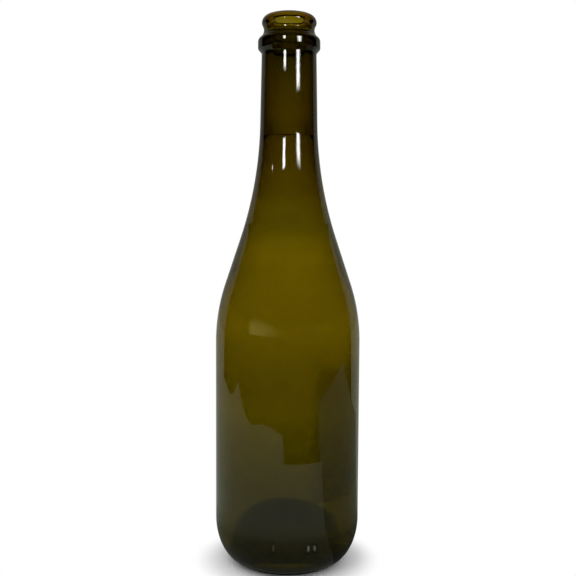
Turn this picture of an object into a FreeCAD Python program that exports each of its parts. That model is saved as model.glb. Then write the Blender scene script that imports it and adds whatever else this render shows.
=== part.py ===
import FreeCAD, Part
import math
import os

# An open sparkling wine bottle of moulded glass, with the wine in it up to the neck.
# Both pieces are round about +Z. Millimetres. The origin is the middle of the foot ring,
# on the table.

# Whole bottle
TOTAL_HEIGHT = 313.0
BODY_DIAMETER = 82.8

# Foot, heel and punt
FOOT_RING_DIAMETER = 50.0       # outer edge of the flat ring that stands on the table
FOOT_RING_WIDTH = 2.6
HEEL_HEIGHT = 26.0              # from the table to the straight side of the body
PUNT_DEPTH = 33.5               # table to the top of the hollow underneath
PUNT_SIDE_ANGLE = math.radians(12.4)    # of the hollow's side, from upright
PUNT_RIM_RADIUS = 2.2           # rounding between the foot ring and the hollow
PUNT_GLASS = 5.5                # thickness over the hollow

# Shoulder and neck: a round shoulder, a straight cone and a long hollow curve
SHOULDER_START = 128.0          # height where the straight side ends
SHOULDER_RADIUS = 106.0
CONE_ANGLE = math.radians(18.4)
NECK_CURVE_RADIUS = 219.0
NECK_START_DIAMETER = 32.5      # where the long curve runs into the neck
NECK_TAPER = math.radians(1.1)

# Finish: collar under the mouth that holds the wire, and the lip of the mouth
COLLAR_DIAMETER = 35.2
COLLAR_TOP_DROP = 15.2          # from the brim to the top of the collar's upright face
COLLAR_FACE_HEIGHT = 3.4
COLLAR_SHOULDER_RADIUS = 3.0
COLLAR_CORNER_RADIUS = 1.3
COLLAR_UNDERCUT_ANGLE = math.radians(40.0)
COLLAR_FOOT_RADIUS = 1.0        # rounding where the underside meets the neck
GROOVE_RADIUS = 5.0             # rounding between the collar and the lip
LIP_DIAMETER = 30.9
LIP_DROP = 4.6                  # from the brim to the widest place of the lip
LIP_UNDER_RADIUS = 3.0
MOUTH_RADIUS = 1.0              # rounding from the bore to the brim

# Inside
BODY_WALL = 3.3
BORE_DIAMETER = 18.6
BORE_CURVE_RADIUS = 150.0       # long curve inside, where the shoulder runs into the bore
TROUGH_HEIGHT = 6.5             # lowest place inside, above the table
TROUGH_RADIUS = 3.5             # rounding on the trough's inner side, against the punt
INNER_HEEL_HEIGHT = 20.0        # from the trough to the straight side of the wall

# Wine
FILL_DROP = 68.6                # from the brim to the surface of the wine
MENISCUS_RADIUS = 2.2           # the surface curves up at the glass
MENISCUS_TURN = math.radians(55.0)


def point(radius, height):
    return FreeCAD.Vector(radius, 0, height)


def line(start, end):
    return Part.LineSegment(point(*start), point(*end)).toShape()


def arc(centre, radius, start, end):
    """Arc about centre from angle start to angle end, measured from +r towards +z."""
    def on_circle(angle):
        return point(centre[0] + radius * math.cos(angle), centre[1] + radius * math.sin(angle))
    return Part.Arc(on_circle(start), on_circle((start + end) / 2), on_circle(end)).toShape()


def quarter_ellipse(start, corner, end):
    """Quarter of an ellipse that leaves start towards the corner, and reaches end from it."""
    curve = Part.BezierCurve()
    curve.setPoles([point(*start), point(*corner), point(*end)])
    curve.setWeight(2, math.sqrt(0.5))
    return curve.toShape()


def touching_circle(first, second, radius):
    """Centre of a circle that touches two others from outside, on the side away from the axis.

    Each of the two is (centre radius, centre height, circle radius)."""
    reach_1 = first[2] + radius
    reach_2 = second[2] + radius
    step_r = second[0] - first[0]
    step_z = second[1] - first[1]
    apart = math.hypot(step_r, step_z)
    along = (reach_1 ** 2 - reach_2 ** 2 + apart ** 2) / (2 * apart)
    aside = math.sqrt(reach_1 ** 2 - along ** 2)
    unit_r = step_r / apart
    unit_z = step_z / apart
    return (first[0] + unit_r * along - unit_z * aside, first[1] + unit_z * along + unit_r * aside)


def direction(start, end):
    return math.atan2(end[1] - start[1], end[0] - start[0])


def shoulder_and_neck(side_radius, start_height, round_radius, curve_radius, neck_radius, taper):
    """Edges from the straight side up into the neck, and the point where they end."""
    turn_r = round_radius * (1 - math.cos(CONE_ANGLE))
    curve_r = curve_radius * (math.cos(taper) - math.cos(CONE_ANGLE))
    cone_length = (side_radius - neck_radius - turn_r - curve_r) / math.sin(CONE_ANGLE)
    round_centre = (side_radius - round_radius, start_height)
    cone_start = (side_radius - turn_r, start_height + round_radius * math.sin(CONE_ANGLE))
    cone_end = (cone_start[0] - cone_length * math.sin(CONE_ANGLE),
                cone_start[1] + cone_length * math.cos(CONE_ANGLE))
    curve_centre = (cone_end[0] + curve_radius * math.cos(CONE_ANGLE),
                    cone_end[1] + curve_radius * math.sin(CONE_ANGLE))
    end = (neck_radius, curve_centre[1] - curve_radius * math.sin(taper))
    edges = [arc(round_centre, round_radius, 0, CONE_ANGLE),
             line(cone_start, cone_end),
             arc(curve_centre, curve_radius, math.pi + CONE_ANGLE, math.pi + taper)]
    return edges, end


def outside():
    """Edges of the outer surface, from the foot ring's outer edge up to the brim."""
    body_radius = BODY_DIAMETER / 2
    foot_radius = FOOT_RING_DIAMETER / 2
    heel = quarter_ellipse((foot_radius, 0), (body_radius, 0), (body_radius, HEEL_HEIGHT))
    side = line((body_radius, HEEL_HEIGHT), (body_radius, SHOULDER_START))
    shoulder, neck_start = shoulder_and_neck(body_radius, SHOULDER_START, SHOULDER_RADIUS,
                                             NECK_CURVE_RADIUS, NECK_START_DIAMETER / 2, NECK_TAPER)

    # Collar, from below: neck, small round, sloping underside, corner, upright face, shoulder
    collar_radius = COLLAR_DIAMETER / 2
    face_top = TOTAL_HEIGHT - COLLAR_TOP_DROP
    face_bottom = face_top - COLLAR_FACE_HEIGHT
    corner = (collar_radius - COLLAR_CORNER_RADIUS, face_bottom)
    slope_top = (corner[0] + COLLAR_CORNER_RADIUS * math.cos(COLLAR_UNDERCUT_ANGLE),
                 corner[1] - COLLAR_CORNER_RADIUS * math.sin(COLLAR_UNDERCUT_ANGLE))
    # The small round touches the tapering neck and the sloping underside
    foot = COLLAR_FOOT_RADIUS
    neck_normal = (math.cos(NECK_TAPER), math.sin(NECK_TAPER))
    slope_normal = (math.cos(COLLAR_UNDERCUT_ANGLE), -math.sin(COLLAR_UNDERCUT_ANGLE))
    neck_offset = neck_normal[0] * neck_start[0] + neck_normal[1] * neck_start[1] + foot
    slope_offset = slope_normal[0] * slope_top[0] + slope_normal[1] * slope_top[1] + foot
    spread = neck_normal[0] * slope_normal[1] - neck_normal[1] * slope_normal[0]
    foot_centre = ((neck_offset * slope_normal[1] - slope_offset * neck_normal[1]) / spread,
                   (slope_offset * neck_normal[0] - neck_offset * slope_normal[0]) / spread)
    neck_end = (foot_centre[0] - foot * neck_normal[0], foot_centre[1] - foot * neck_normal[1])
    slope_bottom = (foot_centre[0] - foot * slope_normal[0],
                    foot_centre[1] - foot * slope_normal[1])

    # Groove between the collar's shoulder and the lip
    shoulder_centre = (collar_radius - COLLAR_SHOULDER_RADIUS, face_top)
    lip_height = TOTAL_HEIGHT - LIP_DROP
    lip_radius = LIP_DIAMETER / 2
    under_centre = (lip_radius - LIP_UNDER_RADIUS, lip_height)
    groove_centre = touching_circle((*under_centre, LIP_UNDER_RADIUS),
                                    (*shoulder_centre, COLLAR_SHOULDER_RADIUS), GROOVE_RADIUS)
    to_shoulder = direction(groove_centre, shoulder_centre)
    to_lip = direction(groove_centre, under_centre)

    finish = [line(neck_start, neck_end),
              arc(foot_centre, foot, math.pi + NECK_TAPER, math.pi - COLLAR_UNDERCUT_ANGLE),
              line(slope_bottom, slope_top),
              arc(corner, COLLAR_CORNER_RADIUS, -COLLAR_UNDERCUT_ANGLE, 0),
              line((collar_radius, face_bottom), (collar_radius, face_top)),
              arc(shoulder_centre, COLLAR_SHOULDER_RADIUS, 0, to_shoulder + math.pi),
              arc(groove_centre, GROOVE_RADIUS, to_shoulder + 2 * math.pi, to_lip),
              arc(under_centre, LIP_UNDER_RADIUS, to_lip - math.pi, 0),
              quarter_ellipse((lip_radius, lip_height), (lip_radius, TOTAL_HEIGHT),
                              (BORE_DIAMETER / 2 + MOUTH_RADIUS, TOTAL_HEIGHT))]
    return [heel, side] + shoulder + finish


def punt():
    """The hollow's side as the distance of its line from the origin, and the crown's radius."""
    rim_centre = (FOOT_RING_DIAMETER / 2 - FOOT_RING_WIDTH, PUNT_RIM_RADIUS)
    side_distance = distance_along_normal(rim_centre) - PUNT_RIM_RADIUS
    lean = math.sin(PUNT_SIDE_ANGLE)
    crown_radius = (side_distance - PUNT_DEPTH * lean) / (1 - lean)
    return rim_centre, side_distance, crown_radius


def distance_along_normal(place):
    """How far a place lies from the origin, square to the side of the punt."""
    return place[0] * math.cos(PUNT_SIDE_ANGLE) + place[1] * math.sin(PUNT_SIDE_ANGLE)


def moved_along_normal(place, distance):
    return (place[0] + distance * math.cos(PUNT_SIDE_ANGLE),
            place[1] + distance * math.sin(PUNT_SIDE_ANGLE))


def underside():
    """Edges from the foot ring's outer edge, under the bottle, to the top of the punt."""
    rim_centre, _, crown_radius = punt()
    crown_centre = (0, PUNT_DEPTH - crown_radius)
    return [line((FOOT_RING_DIAMETER / 2, 0), (rim_centre[0], 0)),
            arc(rim_centre, PUNT_RIM_RADIUS, 3 * math.pi / 2, math.pi + PUNT_SIDE_ANGLE),
            line(moved_along_normal(rim_centre, -PUNT_RIM_RADIUS),
                 moved_along_normal(crown_centre, crown_radius)),
            arc(crown_centre, crown_radius, PUNT_SIDE_ANGLE, math.pi / 2)]


def inside():
    """Edges of the inner surface, from the top of the glass over the punt up to the brim."""
    wall_radius = BODY_DIAMETER / 2 - BODY_WALL
    bore_radius = BORE_DIAMETER / 2

    # The glass over the punt has one thickness, down to the trough
    _, side_distance, hollow_radius = punt()
    crown_radius = hollow_radius + PUNT_GLASS
    crown_centre = (0, PUNT_DEPTH - hollow_radius)
    round_height = TROUGH_HEIGHT + TROUGH_RADIUS
    to_round = side_distance + PUNT_GLASS + TROUGH_RADIUS - distance_along_normal((0, round_height))
    round_centre = (to_round / math.cos(PUNT_SIDE_ANGLE), round_height)
    over_punt = [arc(crown_centre, crown_radius, math.pi / 2, PUNT_SIDE_ANGLE),
                 line(moved_along_normal(crown_centre, crown_radius),
                      moved_along_normal(round_centre, -TROUGH_RADIUS)),
                 arc(round_centre, TROUGH_RADIUS, math.pi + PUNT_SIDE_ANGLE, 3 * math.pi / 2)]

    heel_top = (wall_radius, TROUGH_HEIGHT + INNER_HEEL_HEIGHT)
    heel = quarter_ellipse((round_centre[0], TROUGH_HEIGHT), (wall_radius, TROUGH_HEIGHT), heel_top)
    wall = line(heel_top, (wall_radius, SHOULDER_START))
    shoulder, bore_start = shoulder_and_neck(wall_radius, SHOULDER_START,
                                             SHOULDER_RADIUS - BODY_WALL,
                                             BORE_CURVE_RADIUS, bore_radius, 0)
    mouth_centre = (bore_radius + MOUTH_RADIUS, TOTAL_HEIGHT - MOUTH_RADIUS)
    mouth = [line(bore_start, (bore_radius, mouth_centre[1])),
             arc(mouth_centre, MOUTH_RADIUS, math.pi, math.pi / 2)]
    return over_punt + [heel, wall] + shoulder + mouth


def turned(edges):
    """Solid made by turning a closed outline about the axis."""
    outline = Part.Wire(Part.sortEdges(edges)[0])
    return Part.Face(outline).revolve(FreeCAD.Vector(0, 0, 0), FreeCAD.Vector(0, 0, 1), 360)


def bottle():
    axis = line((0, PUNT_DEPTH), (0, PUNT_DEPTH + PUNT_GLASS))
    return turned(outside() + inside() + underside() + [axis])


def cavity():
    """The room inside the bottle, up to the brim."""
    brim = line((BORE_DIAMETER / 2 + MOUTH_RADIUS, TOTAL_HEIGHT), (0, TOTAL_HEIGHT))
    axis = line((0, TOTAL_HEIGHT), (0, PUNT_DEPTH + PUNT_GLASS))
    return turned(inside() + [brim, axis])


def wine():
    """What fills the cavity under a surface that curves up where it meets the glass."""
    level = TOTAL_HEIGHT - FILL_DROP
    room = cavity()
    glass_radius = line((0, level), (BODY_DIAMETER, level)).common(room).Length
    flat_radius = glass_radius - MENISCUS_RADIUS * math.sin(MENISCUS_TURN)
    meniscus_centre = (flat_radius, level + MENISCUS_RADIUS)
    rim = (glass_radius, level + MENISCUS_RADIUS * (1 - math.cos(MENISCUS_TURN)))
    beyond = (BODY_DIAMETER, rim[1] + (BODY_DIAMETER - rim[0]) * math.tan(MENISCUS_TURN))
    top = beyond[1] + TOTAL_HEIGHT
    air = turned([line((0, level), (flat_radius, level)),
                  arc(meniscus_centre, MENISCUS_RADIUS, -math.pi / 2, MENISCUS_TURN - math.pi / 2),
                  line(rim, beyond),
                  line(beyond, (BODY_DIAMETER, top)),
                  line((BODY_DIAMETER, top), (0, top)),
                  line((0, top), (0, level))])
    return room.cut(air).Solids[0]


os.makedirs("parts", exist_ok=True)
bottle().exportStep("parts/bottle.step")
wine().exportStep("parts/wine.step")
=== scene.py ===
import math

import bpy
from mathutils import Matrix, Vector


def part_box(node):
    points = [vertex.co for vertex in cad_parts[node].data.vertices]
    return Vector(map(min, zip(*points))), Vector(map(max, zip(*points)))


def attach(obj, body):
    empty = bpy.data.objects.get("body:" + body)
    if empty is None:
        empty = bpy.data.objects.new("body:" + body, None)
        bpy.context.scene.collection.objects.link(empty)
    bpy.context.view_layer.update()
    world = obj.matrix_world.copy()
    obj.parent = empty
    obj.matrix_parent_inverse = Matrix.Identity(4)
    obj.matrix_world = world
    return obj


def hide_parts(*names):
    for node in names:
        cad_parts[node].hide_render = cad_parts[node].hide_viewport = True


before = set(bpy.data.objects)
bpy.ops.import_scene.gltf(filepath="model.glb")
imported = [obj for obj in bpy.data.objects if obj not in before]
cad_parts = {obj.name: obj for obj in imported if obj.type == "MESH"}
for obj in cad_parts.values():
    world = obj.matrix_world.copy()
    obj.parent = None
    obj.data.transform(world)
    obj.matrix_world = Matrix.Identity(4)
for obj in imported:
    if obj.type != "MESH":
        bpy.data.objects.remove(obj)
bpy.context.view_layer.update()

# ---------------------------------------------------------------- sizes, in metres
# The overall sizes come from the frame. The rest are the bottle's own, as built.

MM = 0.001
(_, _, _), (BODY_RADIUS, _, HEIGHT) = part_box("bottle")
(_, _, TROUGH_HEIGHT), (WALL_RADIUS, _, WINE_RIM_HEIGHT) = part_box("wine")

FOOT_RADIUS = 25.0 * MM
FOOT_RING_WIDTH = 2.6 * MM
HEEL_HEIGHT = 26.0 * MM
PUNT_DEPTH = 33.5 * MM
PUNT_SIDE_ANGLE = math.radians(12.4)
PUNT_RIM_RADIUS = 2.2 * MM
PUNT_GLASS = 5.5 * MM
TROUGH_RADIUS = 3.5 * MM
INNER_HEEL_HEIGHT = 20.0 * MM

SHOULDER_START = 128.0 * MM
SHOULDER_RADIUS = 106.0 * MM
CONE_ANGLE = math.radians(18.4)
NECK_CURVE_RADIUS = 219.0 * MM
NECK_START_RADIUS = 16.25 * MM
NECK_TAPER = math.radians(1.1)
BORE_RADIUS = 9.3 * MM
BORE_CURVE_RADIUS = 150.0 * MM

COLLAR_RADIUS = 17.6 * MM
COLLAR_TOP_DROP = 15.2 * MM
COLLAR_FACE_HEIGHT = 3.4 * MM
COLLAR_SHOULDER_RADIUS = 3.0 * MM
COLLAR_CORNER_RADIUS = 1.3 * MM
COLLAR_UNDERCUT_ANGLE = math.radians(40.0)
COLLAR_FOOT_RADIUS = 1.0 * MM
GROOVE_RADIUS = 5.0 * MM
LIP_RADIUS = 15.45 * MM
LIP_DROP = 4.6 * MM
LIP_UNDER_RADIUS = 3.0 * MM
MOUTH_RADIUS = 1.0 * MM

MENISCUS_RADIUS = 2.2 * MM
MENISCUS_TURN = math.radians(55.0)
WINE_IN_WALL = 0.12 * MM        # how far the wine reaches into the glass, so that no air shows

SEGMENTS = 192                  # round the bottle
ARC_STEP = math.radians(3.0)    # along a small round
LONG_STEP = 2.0 * MM            # along the long curves and straight runs
SAME_PLACE = 0.001 * MM         # points nearer than this are one
ON_AXIS = 0.0001 * MM           # a radius under this is a point on the axis

# ---------------------------------------------------------------- glass and wine

GLASS_IOR = 1.52
GLASS_COLOUR = (0.72, 0.675, 0.0)
GLASS_DENSITY = 750
GLASS_WAVE_SCALE = (45.0, 45.0, 12.0)   # a metre, along X, Y and Z, so the waves are tall
GLASS_WAVE_DEPTH = 0.02 * MM

# Base colour of the glass against height, which sets how light it looks there: lightest at the
# shoulder and the mouth, darkest in the collar, and dark again at the foot
MOUTH_TINT = (1.0, 0.92, 0.75)
GLASS_LEVELS = (
    (0.0, (0.5, 0.56, 0.5)), (0.02, (0.62, 0.68, 0.62)), (0.07, (0.73, 0.77, 0.73)),
    (0.09, (0.82, 0.84, 0.82)), (0.105, (0.72, 0.73, 0.72)), (0.12, 0.785), (0.14, 0.94),
    (0.16, 0.99), (0.175, 0.95), (0.195, 0.69), (0.21, 0.79), (0.225, 0.91), (0.24, 0.9),
    (0.26, 0.86), (0.282, 0.78), (0.291, (0.58, 0.62, 0.58)), (0.3025, (0.44, 0.46, 0.44)),
    (0.3065, MOUTH_TINT), (0.313, MOUTH_TINT))

WINE_IOR = 1.345
WINE_COLOUR = (0.78, 0.735, 0.0)
WINE_DENSITY = 50
WINE_CLOUD_SCALE = 30.0         # about 3 cm across
WINE_CLOUD = ((0.3, (0.97, 0.96, 0.95)), (0.7, (1.0, 1.0, 1.0)))

# ---------------------------------------------------------------- room, in metres and degrees

CAMERA_DISTANCE = 0.500
CAMERA_HEIGHT = 0.1944
CAMERA_TILT = 4.08
CAMERA_ROLL = 0.28
CAMERA_SENSOR = 36              # mm
CAMERA_LENS = 54.375            # mm

CARD_EDGE = 0.5                 # from a card's middle to its border, as a share of its size
WINDOW_DISTANCE = 5.0
WINDOW_SIGHT_HEIGHT = 0.26      # on the neck, where the windows' borders are measured from
FLAG_DISTANCE = 0.5

COLLAR_FLAG_INNER = 0.036
COLLAR_FLAG_OUTER = 0.095
COLLAR_FLAG_HEIGHT = 0.2
COLLAR_FLAG_HALF_TURN = 95
COLLAR_FLAG_STEP = 10

# Card that dims what shows through the glass's lower right side: painted shadow of the bottle on
# the table
DARK_CARD_LEVEL = 0.54          # of the light behind it that passes
DARK_CARD_SIDES = (-0.14, -0.003)
DARK_CARD_BACK = 0.12
DARK_CARD_HEIGHT = 0.105
DARK_CARD_SOFT_SIDE = 0.04      # shares of its width and height
DARK_CARD_SOFT_TOP = 0.2

ROOM_LIGHT_COLOUR = (1.25, 1.2, 0.4)
ROOM_LIGHT_DISTANCE = 1.2
ROOM_LIGHT_SIGHT_HEIGHT = 0.14  # on the shoulder, where its borders are measured from
ROOM_LIGHT_LEVELS = (0.1, 0.8)  # at its right border, and at the left
ROOM_LIGHT_SOFT_SIDE = 0.85     # shares of its width and height
ROOM_LIGHT_SOFT_TOP = 0.7
ROOM_LIGHT_BORDERS = ((-62, 0.2), (-7, 0.2), (-13, 4.6), (-27, 7.6), (-41, 10.8), (-62, 11.6))

GLINT_COLOUR = (1, 1, 0.95)
GLINT_HEIGHT = 0.004
GLINT_MIDDLE = 0.45             # share of its length at which it is brightest
GLINT_CORE = 0.1                # share to each side of the middle that stays as bright

# Sheets on the table, as the glass reflects them. Each border starts from the axis. The pale
# sheet's near border is round from the camera to the right, and straighter to the left. The
# right part of the table is darker. Near the foot every sheet is dimmer: painted shade.
SHEET_TINT = (0.96, 1.04, 0.84)
# Sheets dim towards the foot: painted shade of the bottle in the reflection
SHEET_FADE = (0.05, 0.14)       # distances from the axis between which a sheet gets lighter
SHEET_FOOT_LEVEL = 0.3          # share of its level that it has nearer than that
SHEET_LEVEL = 0.37
SHEET_ROUND_RADIUS = 0.27
SHEET_ROUND_AZIMUTHS = range(52, -7, -4)
SHEET_LEFT_EDGE = ((-0.04, -0.36), (-0.06, -0.368), (-0.16, -0.365), (-0.25, -0.325),
                   (-0.34, -0.222), (-0.42, -0.17), (-0.49, -0.139), (-0.62, -0.10),
                   (-0.58, -0.03), (-0.535, 0.04), (-0.53, 0.10), (-0.56, 0.2), (-0.56, 0.3))
# The right part of the table, darker than the pale sheet
DIM_PART_LEVEL = 0.15
DIM_PART_EDGE = ((0.29, 0.3), (0.8, 0.09), (0.7, -0.087), (0.59, -0.206), (0.5, -0.292),
              (0.4, -0.34), (0.36, -0.326), (0.22, -0.2))
BACKDROP_FOOT_LEVEL = 0.34
BACKDROP_FOOT_EDGE = ((2.6, 1.38), (2.6, 2.9), (-2.6, 2.9), (-2.6, 1.38))

FLOOR_HALF_WIDTH = 3.0
FLOOR_COLOUR = (0.9, 0.9, 0.9)
FLOOR_FADE = (0.040, 0.056)     # distances from the axis between which its shadow ends

# Level of what shows through the glass, against distance on the table and against the
# sine of the elevation above it. Near the bottle the table is dimmer: painted shade of the bottle
# on it
FLOOR_LEVELS = ((0.15, 0.45), (0.30, 0.62), (0.46, 0.80), (0.62, 0.93), (0.85, 1.0))
SKY_LEVELS = ((0.0, 1.0), (0.09, 1.0), (0.125, 0.75), (0.16, 0.5), (0.205, 0.35), (0.225, 0.44),
              (0.5, 0.44))
SEEN_THROUGH_LEVEL = 1.27

BACKDROP_LEVEL = 0.26
BACKDROP_TINT = (1.0, 1.0, 0.82)
BACKDROP_HALF_ANGLE = 62
BACKDROP_SOFT_ANGLE = 0.06      # radians, to each side of its border
DARK_ROOM_LEVEL = 0.004

# ---------------------------------------------------------------- outlines


def straight(start, end):
    steps = max(1, round(math.dist(start, end) / LONG_STEP))
    return [(start[0] + (end[0] - start[0]) * i / steps,
             start[1] + (end[1] - start[1]) * i / steps) for i in range(steps + 1)]


def arc(centre, radius, start, end):
    turn = abs(end - start)
    steps = max(2, round(turn / ARC_STEP), round(turn * radius / LONG_STEP))
    return [(centre[0] + radius * math.cos(start + (end - start) * i / steps),
             centre[1] + radius * math.sin(start + (end - start) * i / steps))
            for i in range(steps + 1)]


def quarter_ellipse(start, corner, end):
    """Quarter of an ellipse that leaves start towards the corner, and reaches end from it."""
    steps = round(math.pi / 2 / ARC_STEP)
    centre = (start[0] + end[0] - corner[0], start[1] + end[1] - corner[1])
    points = []
    for i in range(steps + 1):
        turn = math.pi / 2 * i / steps
        points.append(tuple(centre[k] + (start[k] - centre[k]) * math.cos(turn)
                            + (end[k] - centre[k]) * math.sin(turn) for k in (0, 1)))
    return points


def joined(*runs):
    """One outline from runs that follow each other, without doubled points."""
    outline = []
    for run in runs:
        for place in run:
            if not outline or math.dist(place, outline[-1]) > SAME_PLACE:
                outline.append(place)
    return outline


def touching_circle(first, second, radius):
    """Centre of a circle that touches two others from outside, away from the axis."""
    reach_1 = first[2] + radius
    reach_2 = second[2] + radius
    step = (second[0] - first[0], second[1] - first[1])
    apart = math.hypot(*step)
    along = (reach_1 ** 2 - reach_2 ** 2 + apart ** 2) / (2 * apart)
    aside = math.sqrt(reach_1 ** 2 - along ** 2)
    return (first[0] + (step[0] * along - step[1] * aside) / apart,
            first[1] + (step[1] * along + step[0] * aside) / apart)


def direction(start, end):
    return math.atan2(end[1] - start[1], end[0] - start[0])


def shoulder_and_neck(side_radius, round_radius, curve_radius, neck_radius, taper):
    """The shoulder's round, the straight cone above it and the hollow curve into the neck."""
    turn_r = round_radius * (1 - math.cos(CONE_ANGLE))
    curve_r = curve_radius * (math.cos(taper) - math.cos(CONE_ANGLE))
    cone_length = (side_radius - neck_radius - turn_r - curve_r) / math.sin(CONE_ANGLE)
    cone_start = (side_radius - turn_r, SHOULDER_START + round_radius * math.sin(CONE_ANGLE))
    cone_end = (cone_start[0] - cone_length * math.sin(CONE_ANGLE),
                cone_start[1] + cone_length * math.cos(CONE_ANGLE))
    curve_centre = (cone_end[0] + curve_radius * math.cos(CONE_ANGLE),
                    cone_end[1] + curve_radius * math.sin(CONE_ANGLE))
    return joined(arc((side_radius - round_radius, SHOULDER_START), round_radius, 0, CONE_ANGLE),
                  straight(cone_start, cone_end),
                  arc(curve_centre, curve_radius, math.pi + CONE_ANGLE, math.pi + taper))


def neck_into_collar(neck_top, slope_top):
    """The neck's last straight run, and the small round where the collar's underside begins.

    The round touches the tapered neck and the collar's sloping underside."""
    radius = COLLAR_FOOT_RADIUS
    neck_normal = (math.cos(NECK_TAPER), math.sin(NECK_TAPER))
    slope_normal = (math.cos(COLLAR_UNDERCUT_ANGLE), -math.sin(COLLAR_UNDERCUT_ANGLE))
    neck_offset = neck_normal[0] * neck_top[0] + neck_normal[1] * neck_top[1] + radius
    slope_offset = slope_normal[0] * slope_top[0] + slope_normal[1] * slope_top[1] + radius
    spread = neck_normal[0] * slope_normal[1] - neck_normal[1] * slope_normal[0]
    centre = ((neck_offset * slope_normal[1] - slope_offset * neck_normal[1]) / spread,
              (slope_offset * neck_normal[0] - neck_offset * slope_normal[0]) / spread)
    neck_end = (centre[0] - radius * neck_normal[0], centre[1] - radius * neck_normal[1])
    return joined(straight(neck_top, neck_end),
                  arc(centre, radius, math.pi + NECK_TAPER, math.pi - COLLAR_UNDERCUT_ANGLE))


def collar(corner):
    """From the collar's lower corner over its face and top, through the groove, to the lip."""
    face_bottom = corner[1]
    face_top = face_bottom + COLLAR_FACE_HEIGHT
    shoulder_centre = (COLLAR_RADIUS - COLLAR_SHOULDER_RADIUS, face_top)
    under_centre = (LIP_RADIUS - LIP_UNDER_RADIUS, HEIGHT - LIP_DROP)
    groove_centre = touching_circle((*under_centre, LIP_UNDER_RADIUS),
                                    (*shoulder_centre, COLLAR_SHOULDER_RADIUS), GROOVE_RADIUS)
    to_shoulder = direction(groove_centre, shoulder_centre)
    to_lip = direction(groove_centre, under_centre)
    return joined(
        arc(corner, COLLAR_CORNER_RADIUS, -COLLAR_UNDERCUT_ANGLE, 0),
        straight((COLLAR_RADIUS, face_bottom), (COLLAR_RADIUS, face_top)),
        arc(shoulder_centre, COLLAR_SHOULDER_RADIUS, 0, to_shoulder + math.pi),
        arc(groove_centre, GROOVE_RADIUS, to_shoulder + 2 * math.pi, to_lip),
        arc(under_centre, LIP_UNDER_RADIUS, to_lip - math.pi, 0))


def outside():
    """Outer surface, from the foot ring's outer edge up to the brim."""
    heel = quarter_ellipse((FOOT_RADIUS, 0), (BODY_RADIUS, 0), (BODY_RADIUS, HEEL_HEIGHT))
    side = straight((BODY_RADIUS, HEEL_HEIGHT), (BODY_RADIUS, SHOULDER_START))
    neck = shoulder_and_neck(BODY_RADIUS, SHOULDER_RADIUS, NECK_CURVE_RADIUS,
                             NECK_START_RADIUS, NECK_TAPER)
    corner = (COLLAR_RADIUS - COLLAR_CORNER_RADIUS,
              HEIGHT - COLLAR_TOP_DROP - COLLAR_FACE_HEIGHT)
    slope_top = (corner[0] + COLLAR_CORNER_RADIUS * math.cos(COLLAR_UNDERCUT_ANGLE),
                 corner[1] - COLLAR_CORNER_RADIUS * math.sin(COLLAR_UNDERCUT_ANGLE))
    lip = quarter_ellipse((LIP_RADIUS, HEIGHT - LIP_DROP), (LIP_RADIUS, HEIGHT),
                          (BORE_RADIUS + MOUTH_RADIUS, HEIGHT))
    return joined(heel, side, neck, neck_into_collar(neck[-1], slope_top), collar(corner), lip)


def along_normal(place):
    """How far out a place is, square to the punt's side."""
    return place[0] * math.cos(PUNT_SIDE_ANGLE) + place[1] * math.sin(PUNT_SIDE_ANGLE)


def punt():
    """Centre of the punt's rim round, how far out its side is, and its crown's radius."""
    rim_centre = (FOOT_RADIUS - FOOT_RING_WIDTH, PUNT_RIM_RADIUS)
    side_distance = along_normal(rim_centre) - PUNT_RIM_RADIUS
    lean = math.sin(PUNT_SIDE_ANGLE)
    return rim_centre, side_distance, (side_distance - PUNT_DEPTH * lean) / (1 - lean)


def underside():
    """From the foot ring's outer edge, under the bottle, to the top of the punt."""
    rim_centre, _, crown_radius = punt()
    return joined([(FOOT_RADIUS, 0)],
                  arc(rim_centre, PUNT_RIM_RADIUS, 3 * math.pi / 2, math.pi + PUNT_SIDE_ANGLE),
                  arc((0, PUNT_DEPTH - crown_radius), crown_radius, PUNT_SIDE_ANGLE, math.pi / 2))


def inside():
    """Inner surface, from the top of the glass over the punt up to the brim."""
    _, side_distance, crown_radius = punt()
    round_height = TROUGH_HEIGHT + TROUGH_RADIUS
    to_round = side_distance + PUNT_GLASS + TROUGH_RADIUS - along_normal((0, round_height))
    round_centre = (to_round / math.cos(PUNT_SIDE_ANGLE), round_height)
    heel_top = (WALL_RADIUS, TROUGH_HEIGHT + INNER_HEEL_HEIGHT)
    mouth_centre = (BORE_RADIUS + MOUTH_RADIUS, HEIGHT - MOUTH_RADIUS)
    neck = shoulder_and_neck(WALL_RADIUS, SHOULDER_RADIUS - BODY_RADIUS + WALL_RADIUS,
                             BORE_CURVE_RADIUS, BORE_RADIUS, 0)
    return joined(
        arc((0, PUNT_DEPTH - crown_radius), crown_radius + PUNT_GLASS,
            math.pi / 2, PUNT_SIDE_ANGLE),
        arc(round_centre, TROUGH_RADIUS, math.pi + PUNT_SIDE_ANGLE, 3 * math.pi / 2),
        quarter_ellipse((round_centre[0], TROUGH_HEIGHT), (WALL_RADIUS, TROUGH_HEIGHT), heel_top),
        straight(heel_top, (WALL_RADIUS, SHOULDER_START)),
        neck,
        straight(neck[-1], (BORE_RADIUS, mouth_centre[1])),
        arc(mouth_centre, MOUTH_RADIUS, math.pi, math.pi / 2))


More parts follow.
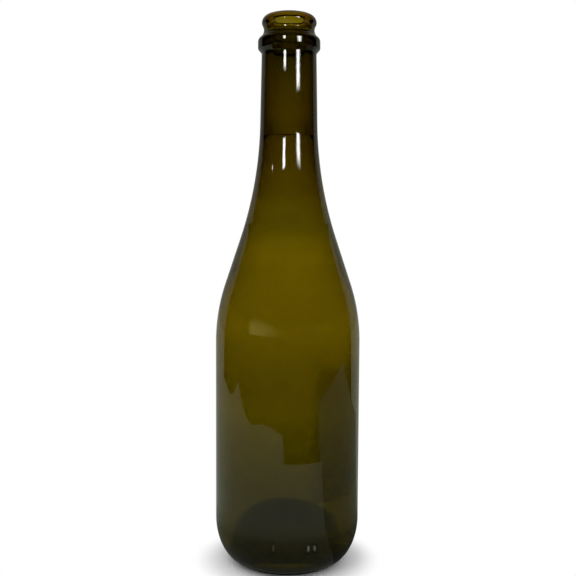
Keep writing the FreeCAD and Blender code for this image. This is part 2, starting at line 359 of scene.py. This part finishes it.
def wine_outline():
    """The inner surface up to the wine, pushed into the wall, and the wine's own surface."""
    level = WINE_RIM_HEIGHT - MENISCUS_RADIUS * (1 - math.cos(MENISCUS_TURN))
    wetted = [place for place in inside() if place[1] < WINE_RIM_HEIGHT]
    rim_radius = wetted[-1][0]
    flat_radius = rim_radius - MENISCUS_RADIUS * math.sin(MENISCUS_TURN)
    meniscus = arc((flat_radius, level + MENISCUS_RADIUS), MENISCUS_RADIUS,
                   MENISCUS_TURN - math.pi / 2, -math.pi / 2)
    pushed = [(0, wetted[0][1] - WINE_IN_WALL)]
    for before, place, after in zip(wetted, wetted[1:], wetted[2:]):
        heading = direction(before, after)
        pushed.append((place[0] + WINE_IN_WALL * math.sin(heading),
                       place[1] - WINE_IN_WALL * math.cos(heading)))
    rim = (rim_radius + WINE_IN_WALL, WINE_RIM_HEIGHT)
    return joined(pushed, [rim], meniscus, [(0, level)])


# ---------------------------------------------------------------- meshes


def turned(name, outline):
    """Mesh made by turning an outline about the axis. It starts and ends on the axis."""
    vertices = []
    faces = []
    rings = []
    for radius, height in outline:
        if radius < ON_AXIS:
            rings.append([len(vertices)] * SEGMENTS)
            vertices.append((0, 0, height))
            continue
        rings.append(range(len(vertices), len(vertices) + SEGMENTS))
        for i in range(SEGMENTS):
            turn = 2 * math.pi * i / SEGMENTS
            vertices.append((radius * math.cos(turn), radius * math.sin(turn), height))
    for lower, upper in zip(rings, rings[1:]):
        for i in range(SEGMENTS):
            j = (i + 1) % SEGMENTS
            corners = dict.fromkeys((lower[i], lower[j], upper[j], upper[i]))
            faces.append(tuple(corners))
    mesh = bpy.data.meshes.new(name)
    mesh.from_pydata(vertices, [], faces)
    mesh.shade_smooth()
    piece = bpy.data.objects.new(name, mesh)
    bpy.context.collection.objects.link(piece)
    return piece


def flat_piece(name, corners):
    mesh = bpy.data.meshes.new(name)
    mesh.from_pydata([tuple(corner) for corner in corners], [], [tuple(range(len(corners)))])
    piece = bpy.data.objects.new(name, mesh)
    bpy.context.collection.objects.link(piece)
    return piece


# ---------------------------------------------------------------- shader nodes


def add_node(tree, kind, **settings):
    node = tree.nodes.new("ShaderNode" + kind)
    for name, value in settings.items():
        setattr(node, name, value)
    return node


def math_node(tree, operation, *sources):
    node = add_node(tree, "Math", operation=operation)
    for socket, source in zip(node.inputs, sources):
        if isinstance(source, (int, float)):
            socket.default_value = source
        else:
            tree.links.new(source, socket)
    return node.outputs[0]


def product(tree, first, *others):
    for other in others:
        first = math_node(tree, "MULTIPLY", first, other)
    return first


def off_middle(tree, source, middle=CARD_EDGE):
    return math_node(tree, "ABSOLUTE", math_node(tree, "SUBTRACT", source, middle))


def smooth_range(tree, source, start, end, low=0.0, high=1.0):
    """Goes softly from low to high while source goes from start to end."""
    node = add_node(tree, "MapRange", interpolation_type="SMOOTHSTEP")
    for socket, value in zip(node.inputs[1:5], (start, end, low, high)):
        socket.default_value = value
    tree.links.new(source, node.inputs[0])
    return node.outputs[0]


def level_curve(tree, source, stops):
    """Level or colour against source, through (place, level) stops."""
    first, last = stops[0][0], stops[-1][0]
    scaled = add_node(tree, "MapRange")
    for socket, value in zip(scaled.inputs[1:5], (first, last, 0, 1)):
        socket.default_value = value
    tree.links.new(source, scaled.inputs[0])
    ramp = add_node(tree, "ValToRGB")
    ramp.color_ramp.interpolation = "EASE"
    elements = ramp.color_ramp.elements
    while len(elements) < len(stops):
        elements.new(0.5)
    for element, (place, level) in zip(elements, stops):
        element.position = (place - first) / (last - first)
        colour = level if isinstance(level, tuple) else (level, level, level)
        element.color = (*colour, 1)
    tree.links.new(scaled.outputs[0], ramp.inputs[0])
    return ramp.outputs[0]


def position(tree):
    return add_node(tree, "NewGeometry").outputs["Position"]


def from_foot(tree):
    """Distance from the point on the table under the bottle's middle."""
    length = add_node(tree, "VectorMath", operation="LENGTH")
    tree.links.new(position(tree), length.inputs[0])
    return length.outputs["Value"]


def own_place(tree):
    """X, Y and Z as shares of a card's own box. In the world they are the direction's parts."""
    parts = add_node(tree, "SeparateXYZ")
    tree.links.new(add_node(tree, "TexCoord").outputs["Generated"], parts.inputs[0])
    return parts.outputs


# ---------------------------------------------------------------- materials


def new_material(name):
    material = bpy.data.materials.new(name)
    material.use_nodes = True
    tree = material.node_tree
    return material, tree, tree.nodes["Principled BSDF"]


def bare_material(name):
    """Material with an output and no shader."""
    material = bpy.data.materials.new(name)
    material.use_nodes = True
    tree = material.node_tree
    tree.nodes.clear()
    return material, tree, add_node(tree, "OutputMaterial")


def glow_material(name, colour, strength):
    material, tree, output = bare_material(name)
    glow = add_node(tree, "Emission")
    glow.inputs["Color"].default_value = (*colour, 1)
    glow.inputs["Strength"].default_value = strength
    tree.links.new(glow.outputs["Emission"], output.inputs["Surface"])
    material.cycles.emission_sampling = "NONE"
    return material, tree, glow


def make_see_through(material, tree, shader, ior, colour, density):
    """Makes the shader clear and smooth, with a colour that deepens with the way through it."""
    shader.inputs["Transmission Weight"].default_value = 1
    shader.inputs["IOR"].default_value = ior
    shader.inputs["Roughness"].default_value = 0.0
    volume = add_node(tree, "VolumeAbsorption")
    volume.inputs["Color"].default_value = (*colour, 1)
    volume.inputs["Density"].default_value = density
    tree.links.new(volume.outputs["Volume"], tree.nodes["Material Output"].inputs["Volume"])
    return material


def glass_material():
    """Olive glass, with a base colour that changes with height and the slight waves of a blown
    wall.
    """
    material, tree, shader = new_material("olive_glass")
    place = position(tree)
    parts = add_node(tree, "SeparateXYZ")
    tree.links.new(place, parts.inputs[0])
    tree.links.new(level_curve(tree, parts.outputs["Z"], GLASS_LEVELS),
                   shader.inputs["Base Color"])
    stretched = add_node(tree, "VectorMath", operation="MULTIPLY")
    tree.links.new(place, stretched.inputs[0])
    stretched.inputs[1].default_value = GLASS_WAVE_SCALE
    wave = add_node(tree, "TexNoise")
    wave.inputs["Scale"].default_value = 1
    wave.inputs["Detail"].default_value = 1
    tree.links.new(stretched.outputs[0], wave.inputs["Vector"])
    bump = add_node(tree, "Bump")
    bump.inputs["Distance"].default_value = GLASS_WAVE_DEPTH
    tree.links.new(wave.outputs["Fac"], bump.inputs["Height"])
    tree.links.new(bump.outputs["Normal"], shader.inputs["Normal"])
    return make_see_through(material, tree, shader, GLASS_IOR, GLASS_COLOUR, GLASS_DENSITY)


def wine_material():
    """Pale wine, with faint clouds so that it isn't one flat colour."""
    material, tree, shader = new_material("wine")
    cloud = add_node(tree, "TexNoise")
    cloud.inputs["Scale"].default_value = WINE_CLOUD_SCALE
    tree.links.new(position(tree), cloud.inputs["Vector"])
    tree.links.new(level_curve(tree, cloud.outputs["Fac"], WINE_CLOUD),
                   shader.inputs["Base Color"])
    return make_see_through(material, tree, shader, WINE_IOR, WINE_COLOUR, WINE_DENSITY)


# ---------------------------------------------------------------- pieces

bottle = turned("bottle_glass", joined(underside()[::-1], outside(), inside()[::-1]))
bottle.data.materials.append(glass_material())
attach(bottle, "root")
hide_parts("bottle")

wine = turned("wine_fill", wine_outline())
wine.data.materials.append(wine_material())
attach(wine, "root")
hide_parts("wine")

# ---------------------------------------------------------------- room


def toward(azimuth, elevation):
    """Unit vector from the bottle. Azimuth is in degrees from the camera, to its right."""
    turn = math.radians(azimuth)
    rise = math.radians(elevation)
    return Vector((math.sin(turn) * math.cos(rise), -math.cos(turn) * math.cos(rise),
                   math.sin(rise)))


def set_visible(piece, glossy=False, transmission=False):
    """Hides a card from all but the glass, which reflects it or shows it through itself."""
    piece.visible_camera = False
    piece.visible_diffuse = False
    piece.visible_glossy = glossy
    piece.visible_transmission = transmission
    piece.visible_volume_scatter = False
    piece.visible_shadow = False


def add_camera():
    data = bpy.data.cameras.new("camera")
    data.sensor_width = CAMERA_SENSOR
    data.lens = CAMERA_LENS
    camera = bpy.data.objects.new("camera", data)
    bpy.context.collection.objects.link(camera)
    camera.matrix_world = (Matrix.Translation((0, -CAMERA_DISTANCE, CAMERA_HEIGHT))
                           @ Matrix.Rotation(math.radians(90 - CAMERA_TILT), 4, "X")
                           @ Matrix.Rotation(math.radians(CAMERA_ROLL), 4, "Z"))
    bpy.context.scene.camera = camera


def add_lamp(name, azimuth, elevation, size, distance, power):
    """Soft lamp that lights the table. The glass shows the cards instead."""
    data = bpy.data.lights.new(name, "AREA")
    data.shape = "DISK"
    data.size = size
    data.energy = power
    lamp = bpy.data.objects.new(name, data)
    lamp.location = Vector((0, 0, HEIGHT / 2)) + toward(azimuth, elevation) * distance
    lamp.rotation_euler = toward(azimuth, elevation).to_track_quat("Z", "Y").to_euler()
    bpy.context.collection.objects.link(lamp)
    lamp.visible_glossy = False
    lamp.visible_transmission = False
    lamp.visible_camera = False


def add_window(name, azimuths, elevations, strength, soft_side, soft_top, soft_bottom):
    """Card that the glass reflects as a window: a flat glow with soft borders.

    Azimuths and elevations are its borders as the neck sees them, in degrees. The soft
    parts are shares of its width or height."""
    neck = Vector((0, 0, WINDOW_SIGHT_HEIGHT))
    middle = toward(sum(azimuths) / 2, sum(elevations) / 2)
    half_width = WINDOW_DISTANCE * math.tan(math.radians(azimuths[1] - azimuths[0]) / 2)
    half_height = WINDOW_DISTANCE * math.tan(math.radians(elevations[1] - elevations[0]) / 2)
    card = flat_piece(name, [(-half_width, -half_height, 0), (half_width, -half_height, 0),
                             (half_width, half_height, 0), (-half_width, half_height, 0)])
    card.location = neck + middle * WINDOW_DISTANCE
    card.rotation_euler = middle.to_track_quat("Z", "Y").to_euler()
    material, tree, glow = glow_material(name, (1, 1, 1), strength)
    place = own_place(tree)
    side = smooth_range(tree, off_middle(tree, place["X"]), CARD_EDGE, CARD_EDGE - soft_side)
    top = smooth_range(tree, place["Y"], 1, 1 - soft_top)
    bottom = smooth_range(tree, place["Y"], 0, soft_bottom)
    tree.links.new(product(tree, side, top, bottom, strength), glow.inputs["Strength"])
    card.data.materials.append(material)
    set_visible(card, glossy=True)


def add_flag(name, azimuths, bottom, top):
    """Black card that keeps a window out of what the shoulder reflects."""
    left, right = [toward(azimuth, 0) * FLAG_DISTANCE for azimuth in azimuths]
    flag = flat_piece(name, [(left.x, left.y, bottom), (right.x, right.y, bottom),
                             (right.x, right.y, top), (left.x, left.y, top)])
    flag.data.materials.append(glow_material(name, (0, 0, 0), 0)[0])
    set_visible(flag, glossy=True)


def add_collar_flag():
    """Black half ring round the front of the shoulder: painted shade in what the collar's
    underside reflects.
    """
    turns = range(-COLLAR_FLAG_HALF_TURN, COLLAR_FLAG_HALF_TURN + 1, COLLAR_FLAG_STEP)
    border = ([toward(turn, 0) * COLLAR_FLAG_OUTER for turn in turns]
              + [toward(turn, 0) * COLLAR_FLAG_INNER for turn in reversed(turns)])
    flag = flat_piece("collar_flag", [(place.x, place.y, COLLAR_FLAG_HEIGHT) for place in border])
    flag.data.materials.append(glow_material("collar_flag", (0, 0, 0), 0)[0])
    set_visible(flag, glossy=True)


def add_dark_card():
    """Dark card close behind the bottle, seen only through the glass, that dims its lower right
    side: painted shadow of the bottle on the table.
    """
    left, right = DARK_CARD_SIDES
    back, height = DARK_CARD_BACK, DARK_CARD_HEIGHT
    card = flat_piece("painted_shadow_card", [(left, back, 0), (right, back, 0),
                                    (right, back, height), (left, back, height)])
    material, tree, output = bare_material("painted_shadow_card")
    place = own_place(tree)
    cover = product(tree, smooth_range(tree, place["X"], 1.0, 1 - DARK_CARD_SOFT_SIDE),
                    smooth_range(tree, place["Z"], 1.0, 1 - DARK_CARD_SOFT_TOP),
                    1 - DARK_CARD_LEVEL)
    clear = add_node(tree, "BsdfTransparent")
    tree.links.new(math_node(tree, "SUBTRACT", 1.0, cover), clear.inputs["Color"])
    tree.links.new(clear.outputs["BSDF"], output.inputs["Surface"])
    card.data.materials.append(material)
    set_visible(card, transmission=True)


def add_room_light():
    """A patch of lit wall to the left, low, that shows in the shoulder."""
    middle = Vector((0, 0, ROOM_LIGHT_SIGHT_HEIGHT))
    patch = flat_piece("room_light", [middle + toward(*border) * ROOM_LIGHT_DISTANCE
                                      for border in ROOM_LIGHT_BORDERS])
    material, tree, glow = glow_material("room_light", ROOM_LIGHT_COLOUR, 1)
    place = own_place(tree)
    side = smooth_range(tree, place["X"], 1.0, 1 - ROOM_LIGHT_SOFT_SIDE, *ROOM_LIGHT_LEVELS)
    top = smooth_range(tree, place["Z"], 1.0, 1 - ROOM_LIGHT_SOFT_TOP)
    tree.links.new(product(tree, side, top), glow.inputs["Strength"])
    patch.data.materials.append(material)
    set_visible(patch, glossy=True)


def add_glint(name, near, far, width, level):
    """Narrow soft gleam on the table close to the foot, which the heel reflects."""
    start, end = Vector(near), Vector(far)
    length = (end - start).length
    strip = flat_piece(name, [(-width / 2, 0, 0), (width / 2, 0, 0), (width / 2, length, 0),
                              (-width / 2, length, 0)])
    strip.location = (start.x, start.y, GLINT_HEIGHT)
    strip.rotation_euler.z = direction(start, end) - math.pi / 2
    material, tree, glow = glow_material(name, GLINT_COLOUR, 1)
    place = own_place(tree)
    across = smooth_range(tree, off_middle(tree, place["X"]), CARD_EDGE, GLINT_CORE, 0.0, level)
    along = smooth_range(tree, off_middle(tree, place["Y"], GLINT_MIDDLE), GLINT_MIDDLE,
                         GLINT_CORE)
    tree.links.new(product(tree, across, along), glow.inputs["Strength"])
    strip.data.materials.append(material)
    set_visible(strip, glossy=True)


def add_sheet(name, edge, level, height):
    """Paper or a darker part of the table, from the axis out to its edge, as the glass reflects
    it; dimmer near the foot as painted shade.
    """
    sheet = flat_piece(name, [(0, 0, height)] + [(x, y, height) for x, y in edge])
    material, tree, glow = glow_material(name, [level * part for part in SHEET_TINT], 1)
    tree.links.new(smooth_range(tree, from_foot(tree), *SHEET_FADE, SHEET_FOOT_LEVEL, 1.0),
                   glow.inputs["Strength"])
    sheet.data.materials.append(material)
    set_visible(sheet, glossy=True)


def add_floor():
    half = FLOOR_HALF_WIDTH
    floor = flat_piece("floor", [(-half, -half, 0), (half, -half, 0), (half, half, 0),
                                 (-half, half, 0)])
    material, tree, shader = new_material("floor")
    shader.inputs["Base Color"].default_value = (*FLOOR_COLOUR, 1)
    shader.inputs["Roughness"].default_value = 1.0
    shader.inputs["Specular IOR Level"].default_value = 0
    distance = from_foot(tree)
    path = add_node(tree, "LightPath")

    # As the camera sees it: the shadow near the bottle, and white further out
    white = add_node(tree, "Emission")
    fade = product(tree, path.outputs["Is Camera Ray"], smooth_range(tree, distance, *FLOOR_FADE))
    seen = add_node(tree, "MixShader")
    tree.links.new(fade, seen.inputs["Fac"])
    tree.links.new(shader.outputs["BSDF"], seen.inputs[1])
    tree.links.new(white.outputs["Emission"], seen.inputs[2])

    # As the glass passes it on: dimmer near the bottle, as painted shade of the bottle on the
    # table
    glow = add_node(tree, "Emission")
    passed = product(tree, level_curve(tree, distance, FLOOR_LEVELS),
                     path.outputs["Is Transmission Ray"], SEEN_THROUGH_LEVEL)
    tree.links.new(passed, glow.inputs["Strength"])
    mix = add_node(tree, "MixShader")
    tree.links.new(path.outputs["Is Glossy Ray"], mix.inputs["Fac"])
    tree.links.new(seen.outputs["Shader"], mix.inputs[1])
    tree.links.new(glow.outputs["Emission"], mix.inputs[2])
    tree.links.new(mix.outputs["Shader"], tree.nodes["Material Output"].inputs["Surface"])
    floor.data.materials.append(material)


def backdrop_level(tree, ahead, up):
    """Level of what the glass reflects: a pale backdrop behind the bottle, and a dark room.

    The two are divided by azimuth, from the direction's parts."""
    across = math_node(tree, "SQRT",
                       math_node(tree, "SUBTRACT", 1.0, math_node(tree, "POWER", up, 2.0)))
    cosine = math_node(tree, "DIVIDE", ahead, across)
    border = math.radians(BACKDROP_HALF_ANGLE)
    return smooth_range(tree, cosine, math.cos(border + BACKDROP_SOFT_ANGLE),
                        math.cos(border - BACKDROP_SOFT_ANGLE), DARK_ROOM_LEVEL, BACKDROP_LEVEL)


def add_world():
    """White to the camera, and different to rays that the glass passes on or reflects."""
    world = bpy.data.worlds.new("studio")
    bpy.context.scene.world = world
    world.use_nodes = True
    tree = world.node_tree
    background = tree.nodes["Background"]
    path = add_node(tree, "LightPath")
    parts = own_place(tree)
    through = path.outputs["Is Transmission Ray"]
    bounced = math_node(tree, "SUBTRACT", path.outputs["Is Glossy Ray"], through)
    plain = math_node(tree, "SUBTRACT", 1.0, path.outputs["Is Glossy Ray"])

    seen_through = product(tree, level_curve(tree, parts["Z"], SKY_LEVELS), through,
                           SEEN_THROUGH_LEVEL)
    reflected = product(tree, backdrop_level(tree, parts["Y"], parts["Z"]), bounced)
    total = math_node(tree, "ADD", plain, math_node(tree, "ADD", seen_through, reflected))
    tree.links.new(total, background.inputs["Strength"])

    tint = add_node(tree, "Mix", data_type="RGBA", blend_type="MIX")
    factor, white, tinted = tint.inputs[0], tint.inputs[6], tint.inputs[7]
    tree.links.new(bounced, factor)
    white.default_value = (1, 1, 1, 1)
    tinted.default_value = (*BACKDROP_TINT, 1)
    tree.links.new(tint.outputs[2], background.inputs["Color"])


add_camera()
add_floor()
add_world()
add_lamp("soft_lamp", azimuth=-30, elevation=60, size=1.2, distance=1.8, power=6)

add_window("window_left", azimuths=(-24.0, -11.0), elevations=(12.2, 19.5), strength=26,
           soft_side=0.35, soft_top=0.15, soft_bottom=0.1)
add_window("window_right", azimuths=(27.0, 48.0), elevations=(10.7, 19.0), strength=26,
           soft_side=0.48, soft_top=0.5, soft_bottom=0.1)
add_window("window_far_left", azimuths=(-62.5, -59.5), elevations=(16.0, 18.0), strength=12,
           soft_side=0.3, soft_top=0.2, soft_bottom=0.2)
add_flag("flag_left", azimuths=(-32, -4), bottom=0.243, top=0.342)
add_flag("flag_right", azimuths=(20, 56), bottom=0.2, top=0.338)
add_flag("flag_far_left", azimuths=(-68, -54), bottom=0.25, top=0.342)
add_collar_flag()
add_dark_card()
add_room_light()
add_glint("glint_left", near=(-0.0125, -0.0495), far=(-0.0215, -0.078), width=0.0052, level=0.5)
add_glint("glint_middle", near=(0.0202, -0.0475), far=(0.0310, -0.0665), width=0.0050, level=1.4)
add_glint("glint_right", near=(0.0262, -0.0452), far=(0.0375, -0.0597), width=0.0044, level=1.3)
round_edge = [toward(azimuth, 0).xy * SHEET_ROUND_RADIUS for azimuth in SHEET_ROUND_AZIMUTHS]
add_sheet("sheet", [*round_edge, *SHEET_LEFT_EDGE], SHEET_LEVEL, height=0.003)
add_sheet("dim_part", DIM_PART_EDGE, DIM_PART_LEVEL, height=0.002)
add_sheet("backdrop_foot", BACKDROP_FOOT_EDGE, BACKDROP_FOOT_LEVEL, height=0.001)
bpy.context.scene.view_settings.view_transform = "Standard"
